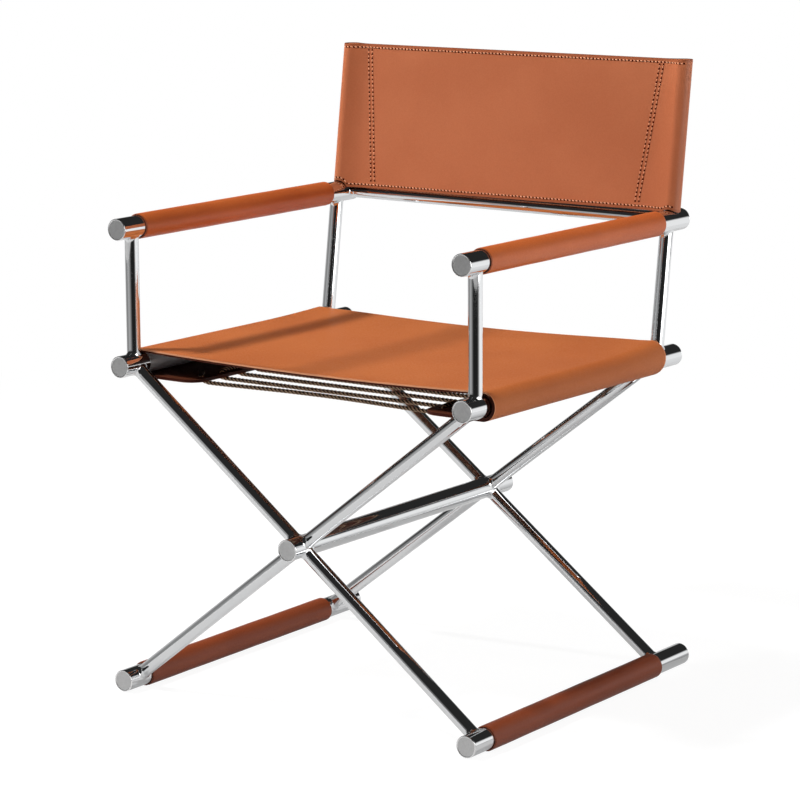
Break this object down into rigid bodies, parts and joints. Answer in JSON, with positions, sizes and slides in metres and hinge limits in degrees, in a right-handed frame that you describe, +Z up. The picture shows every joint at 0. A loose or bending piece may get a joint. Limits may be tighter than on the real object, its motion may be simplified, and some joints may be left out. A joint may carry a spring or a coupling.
{
  "type": "lounge chair",
  "caption": "Director-style lounge chair: crossed legs and arms of polished steel tube, leather seat sling laced underneath, lean leather back on two posts.",
  "frame": {"origin": "on the floor, under the middle of the chair's width and depth", "axes": "+Z up; -Y towards the front, where a sitter's legs go; +X to the right for someone who faces the chair"},
  "size_m": [0.6078, 0.5657, 0.855],
  "materials": {
    "polished_steel": "mirror polished tube",
    "satin_cap": "satin disc",
    "seat_leather": "smooth saddle leather",
    "back_leather": "smooth saddle leather, sewn",
    "sleeve_leather": "smooth saddle leather",
    "lace_cord": "twisted cord"
  },
  "bodies": {
    "frame": {"arm_sleeve_left": "sleeve_leather", "arm_sleeve_right": "sleeve_leather", "arm_tube_left": "polished_steel", "arm_tube_left_end_caps": "satin_cap", "arm_tube_right": "polished_steel", "arm_tube_right_end_caps": "satin_cap", "back_post_left": "polished_steel", "back_post_right": "polished_steel", "centre_stretcher": "polished_steel", "centre_stretcher_end_caps": "satin_cap", "floor_rail_left": "polished_steel", "floor_rail_left_end_caps": "satin_cap", "floor_rail_right": "polished_steel", "floor_rail_right_end_caps": "satin_cap", "floor_sleeve_left": "sleeve_leather", "floor_sleeve_right": "sleeve_leather", "front_leg_lower_left": "polished_steel", "front_leg_lower_right": "polished_steel", "front_leg_upper_left": "polished_steel", "front_leg_upper_right": "polished_steel", "front_post_left": "polished_steel", "front_post_right": "polished_steel", "rear_crossbar": "polished_steel", "rear_leg_lower_left": "polished_steel", "rear_leg_lower_right": "polished_steel", "rear_leg_upper_left": "polished_steel", "rear_leg_upper_right": "polished_steel", "rear_post_left": "polished_steel", "rear_post_right": "polished_steel", "seat_lace": "lace_cord", "seat_rail_left": "polished_steel", "seat_rail_left_end_caps": "satin_cap", "seat_rail_right": "polished_steel", "seat_rail_right_end_caps": "satin_cap", "seat_sling": "seat_leather"},
    "back_sling": {"back_sling": "back_leather"}
  },
  "joints": [
    {"name": "back_sling_lift", "type": "slide", "parent": "frame", "child": "back_sling", "axis": [0, 0.1461, 0.9893], "range_m": [0, 0.19]}
  ]
}
